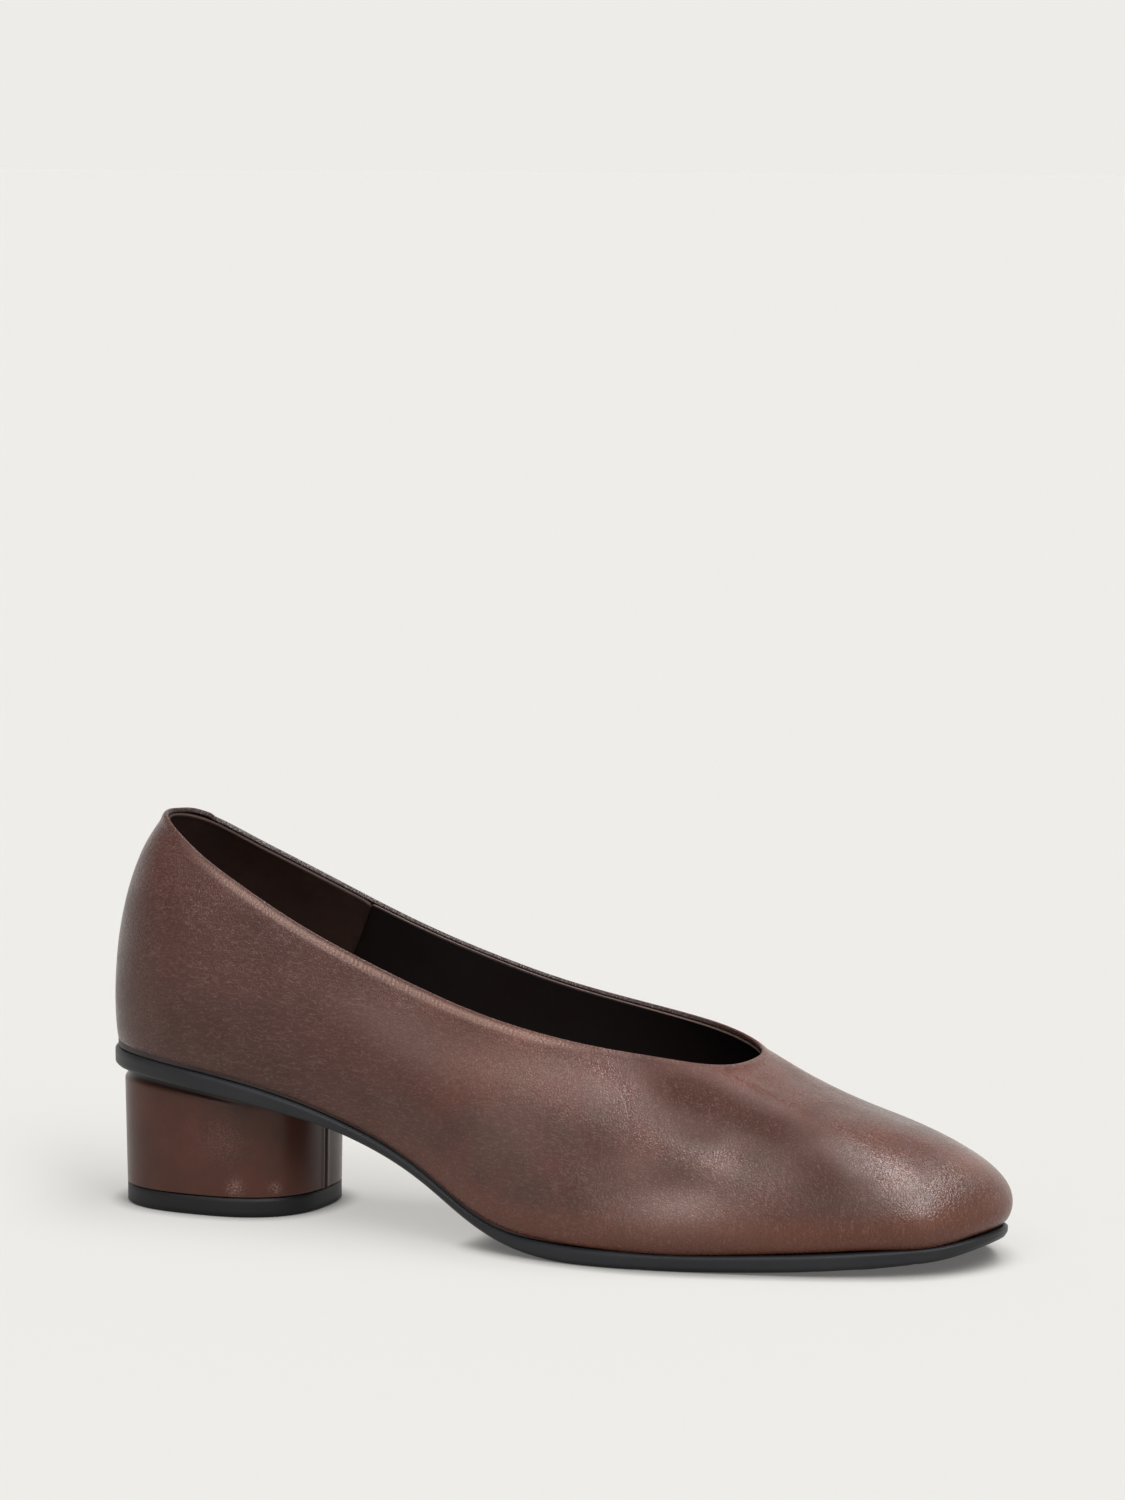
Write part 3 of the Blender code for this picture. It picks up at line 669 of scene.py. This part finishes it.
def makeInsole():
    bm = cadCopy("insole")
    bm.normal_update()
    rim = [e for e in bm.edges if e.calc_face_angle(0) > math.radians(60)]
    waist, ball = insoleLook["reach"]
    for v in {v for e in rim for v in e.verts}:
        away = sum((f.normal for f in v.link_faces if abs(f.normal.z) < 0.6), Vector())
        reach = waist + (ball - waist) * softStep(*insoleLook["reachFade"], v.co.x / mm)
        v.co += Vector((away.x, away.y, 0)).normalized() * reach * mm
    bmesh.ops.bevel(bm, geom=rim, offset=insoleLook["edge"] * mm, offset_type="OFFSET", affect="EDGES",
                    segments=2, profile=0.5, material=-1, clamp_overlap=True)
    piece = newPiece("sock", bm, [sockLeather], "insole")
    subdivide(piece, 1)


makeInsole()
print("insole made")


# outsole, with its edge kept flat between two small roundings

outsoleLook = dict(
    crease=0.85,
    corner=0.25,                # how far the edge's corners are brought out
    deep=(1.0, -48.0, -66.0),   # deeper over the heel, from and to
)


def makeOutsole():
    bm = cadCopy("outsole")
    bm.normal_update()
    # the edge's corners are crisp, and its face is deeper over the heel
    deep, start, full = outsoleLook["deep"]
    moves = []
    for v in bm.verts:
        up = v.normal.z
        # most where the surface slants at 45 degrees
        move = v.normal * outsoleLook["corner"] * 4 * up * up * (1 - up * up)
        if up < -0.1:
            move.z -= deep * softStep(start, full, v.co.x / mm)
        moves.append(move * mm)
    for v, move in zip(bm.verts, moves):
        v.co += move
        v.co.z = max(v.co.z, 0.0)
    creaseSharpEdges(bm, math.radians(25), outsoleLook["crease"])
    piece = newPiece("sole", bm, [soleRubber], "outsole")
    subdivide(piece, 2)


makeOutsole()
print("outsole made")


# heel, a block covered in leather with the cover's seam down its breast

heelLook = dict(
    edge=0.8, rows=14,
    seam=(-5.0, 0.32, 0.6),             # place across the breast, half width, depth
    seamLips=(1.1, 0.7, 0.16),          # beside the seam, half width, height
    seamCuts=(-2.4, -1.8, -1.3, -0.9, -0.6, -0.36, -0.18, 0, 0.18, 0.36, 0.6, 0.9, 1.3, 1.8, 2.4),
    gap=(2.3, 0.8, 0.9),                # below the heel's upper rim, half width, depth
    gapFade=(-88, -66),                 # closes along the shoe
    # centre, size, how far it is paled: two scuffs, then a broad painted highlight
    scuffsAndHighlight=[((-77.6, -26.4, 7.8), 2.0, 0.4), ((-68.5, -21.6, 7.7), 1.4, 0.35), ((-81, -27.5, 20), 6.0, 0.1)],
)


def makeHeel():
    bm = cadCopy("heel", 30)
    bm.normal_update()
    # one face below, so that its rim is rounded evenly
    inner = [e for e in bm.edges if all(f.normal.z < -0.99 for f in e.link_faces)]
    bmesh.ops.dissolve_edges(bm, edges=inner)
    upright = [e for e in bm.edges if abs(e.verts[0].co.z - e.verts[1].co.z) > 12 * mm]
    bmesh.ops.subdivide_edges(bm, edges=upright, cuts=heelLook["rows"], use_grid_fill=True)
    rim = [e for e in bm.edges if e.calc_face_angle(0) > math.radians(50)]
    bmesh.ops.bevel(bm, geom=rim, offset=heelLook["edge"] * mm, offset_type="OFFSET", affect="EDGES",
                    segments=2, profile=0.5, material=-1, clamp_overlap=True)
    piece = newPiece("heel_cover", bm, [coverLeather], "heel")
    subdivide(piece, 2)
    applyModifiers(piece)
    sewHeel(piece.data)


def sewHeel(mesh):
    # the cover's two edges meet in a groove down the breast
    middle, half, depth = heelLook["seam"]
    bm = bmesh.new()
    bm.from_mesh(mesh)
    for cut in heelLook["seamCuts"]:
        near = [f for f in bm.faces if f.normal.x > 0.4 and abs(f.calc_center_median().y / mm - middle) < 4]
        parts = {part for f in near for part in [f, *f.edges, *f.verts]}
        bmesh.ops.bisect_plane(bm, geom=list(parts), dist=1e-7, plane_co=(0, (middle + cut) * mm, 0),
                               plane_no=(0, 1, 0))
    bmesh.ops.remove_doubles(bm, verts=bm.verts[:], dist=0.02 * mm)
    bm.to_mesh(mesh)
    bm.free()
    mesh.shade_smooth()
    points, normals = readPoints(mesh, "co"), readPoints(mesh, "normal")
    across = np.where(normals[:, 0] > 0.4, points[:, 1] / mm - middle, 99.0)
    groove = hump(across, 0, half)
    beside, wide, raised = heelLook["seamLips"]
    high = raised * hump(np.abs(across), beside, wide) - depth * groove
    # a gap under the sole, with painted shade in it, closing towards the breast
    rim = points[normals[:, 2] > 0.9]
    below, _ = nearest(points, rim)
    place, wide, depth = heelLook["gap"]
    gap = hump(np.maximum(below / mm, place), place, wide) * (normals[:, 2] < 0.7)
    gap *= 1 - softStep(*heelLook["gapFade"], points[:, 0] / mm)
    high -= depth * gap
    mesh.vertices.foreach_set("co", (points + normals * (high * mm)[:, None]).ravel())
    # two scuffs and one broad painted highlight; the seam mark also paints shade in the gap
    wearAndPaintedLight = np.zeros(len(points))
    for centre, size, worn in heelLook["scuffsAndHighlight"]:
        wearAndPaintedLight += worn * np.exp(-(((points / mm - np.array(centre)) / size) ** 2).sum(axis=1))
    writeAttribute(mesh, "wearAndPaintedLight", wearAndPaintedLight)
    writeAttribute(mesh, "seam", np.maximum(groove, gap))
    mesh.update()


makeHeel()
print("heel made")


# top piece under the heel

topPieceLook = dict(crease=1.0, out=0.3)        # out to the heel cover's face


def makeTopPiece():
    bm = cadCopy("heel_top_piece", 20)
    # brought out flush with the heel cover
    middle = sum((v.co for v in bm.verts), Vector()) / len(bm.verts)
    for v in bm.verts:
        away = Vector((v.co.x - middle.x, v.co.y - middle.y, 0))
        v.co += away.normalized() * topPieceLook["out"] * mm
    creaseSharpEdges(bm, math.radians(30), topPieceLook["crease"])
    piece = newPiece("top_piece", bm, [topPieceRubber], "heel_top_piece")
    subdivide(piece, 2)


makeTopPiece()
print("top piece made")


# floor, light and camera

studio = dict(
    pale="#eeece8", paper="#7d7c7a", floorSize=40.0,
    glow=0.551, glowNear=0.13,          # of the paper, in the open and close to the shoe
    contact=9.0, shade=(0.44, 0.88),    # how close that is in mm, and the open share of the sky that it runs over
    strip=(85.0, 67.0, -53.0), stripWide=18.0,          # turn, height, spin and width
    stripLamps=[(-31.0, 0.6), (-18.0, 0.9), (-4.0, 0.9), (10.0, 0.95), (24.0, 1.0), (38.0, 0.65)],      # along, power
    fills=[(-6.0, 50.0, 36.0, 1.05), (-6.0, 18.0, 36.0, 0.28)],         # turn, height, width, power
    skyFront=0.6, skyBack=1.25, ceiling=0.3,            # brightness in front and behind, and its share overhead
)


def addSoftbox(name, turn, high, wide, power, spin=0, along=0):
    # shines at the shoe from a turn and a height; spun about its own axis, then moved along; all in degrees
    lamp = bpy.data.lights.new(name, "SUN")
    lamp.angle = math.radians(wide)
    lamp.energy = power
    holder = bpy.data.objects.new(name, lamp)
    turns = [(turn, "Z"), (90 - high, "X"), (spin, "Z"), (along, "X")]
    aim = Matrix.Identity(3)
    for angle, axis in turns:
        aim = aim @ Matrix.Rotation(math.radians(angle), 3, axis)
    holder.rotation_euler = aim.to_euler()
    holder.location = aim @ Vector((0, 0, 1))
    holder.visible_camera = False
    bpy.context.scene.collection.objects.link(holder)


def makeStudio():
    bm = bmesh.new()
    bmesh.ops.create_grid(bm, x_segments=4, y_segments=4, size=studio["floorSize"] / 2)
    mesh = bpy.data.meshes.new("floor")
    bm.to_mesh(mesh)
    bm.free()
    material, shader = newMaterial("pale studio paper")
    shader.inputs["Base Color"].default_value = linear(studio["paper"])
    shader.inputs["Emission Color"].default_value = linear(studio["pale"])
    # the paper glows a little, less where something stands close over it: a painted contact shadow
    near = addNode(material, "AmbientOcclusion", {"Distance": studio["contact"] * mm}, samples=8)
    closed, opened = studio["shade"]
    glow = addNode(material, "MapRange", {"Value": near.outputs["AO"], "From Min": closed, "From Max": opened,
                                          "To Min": studio["glowNear"], "To Max": studio["glow"]})
    wire(material, glow.outputs[0], shader, "Emission Strength")
    shader.inputs["Roughness"].default_value = 0.9
    shader.inputs["Specular IOR Level"].default_value = 0.0
    mesh.materials.append(material)
    floor = bpy.data.objects.new("floor", mesh)
    bpy.context.scene.collection.objects.link(floor)
    # a long strip over the toe, and a tall fill in front
    turn, high, spin = studio["strip"]
    for along, power in studio["stripLamps"]:
        addSoftbox("strip softbox", turn, high, studio["stripWide"], power, spin, along)
    for fill in studio["fills"]:
        addSoftbox("fill softbox", *fill)
    world = bpy.data.worlds.new("studio")
    bpy.context.scene.world = world
    world.use_nodes = True
    nodes = world.node_tree.nodes
    sky = nodes["Background"]
    sky.inputs["Color"].default_value = linear(studio["pale"])
    # paler behind the shoe than in front of it, and darker overhead
    towards = addNode(world, "SeparateXYZ", {"Vector": addNode(world, "TexCoord").outputs["Generated"]})
    behind = addNode(world, "MapRange", {"Value": towards.outputs["Y"], "From Min": -0.4, "From Max": 0.6,
                                         "To Min": studio["skyFront"], "To Max": studio["skyBack"]},
                     interpolation_type="SMOOTHSTEP")
    overhead = addNode(world, "MapRange", {"Value": towards.outputs["Z"], "From Min": 0.15, "From Max": 0.55,
                                           "To Min": 1.0, "To Max": studio["ceiling"]},
                       interpolation_type="SMOOTHSTEP")
    bright = addNode(world, "Math", {0: behind.outputs[0], 1: overhead.outputs[0]}, operation="MULTIPLY")
    wire(world, bright.outputs[0], sky, "Strength")
    # the walls of the room are seen as pale as the floor
    seen = addNode(world, "Background", {"Color": linear(studio["pale"])})
    path = addNode(world, "LightPath")
    mix = addNode(world, "MixShader", {0: path.outputs["Is Camera Ray"], 1: sky.outputs[0], 2: seen.outputs[0]})
    wire(world, mix.outputs[0], nodes["World Output"], "Surface")
    bpy.context.scene.view_settings.view_transform = "Standard"


# place in m, angles in degrees, lens in mm
cameraLook = dict(place=(0.5690, -1.2139, 0.2844), tilt=90 - 6.887, turn=24.995, lens=127.98)


def makeCamera():
    lens = bpy.data.cameras.new("camera")
    lens.lens = cameraLook["lens"]
    lens.clip_end = 100
    camera = bpy.data.objects.new("camera", lens)
    camera.location = cameraLook["place"]
    camera.rotation_euler = (math.radians(cameraLook["tilt"]), 0, math.radians(cameraLook["turn"]))
    bpy.context.scene.collection.objects.link(camera)
    bpy.context.scene.camera = camera


makeStudio()
makeCamera()
print("studio and camera made")
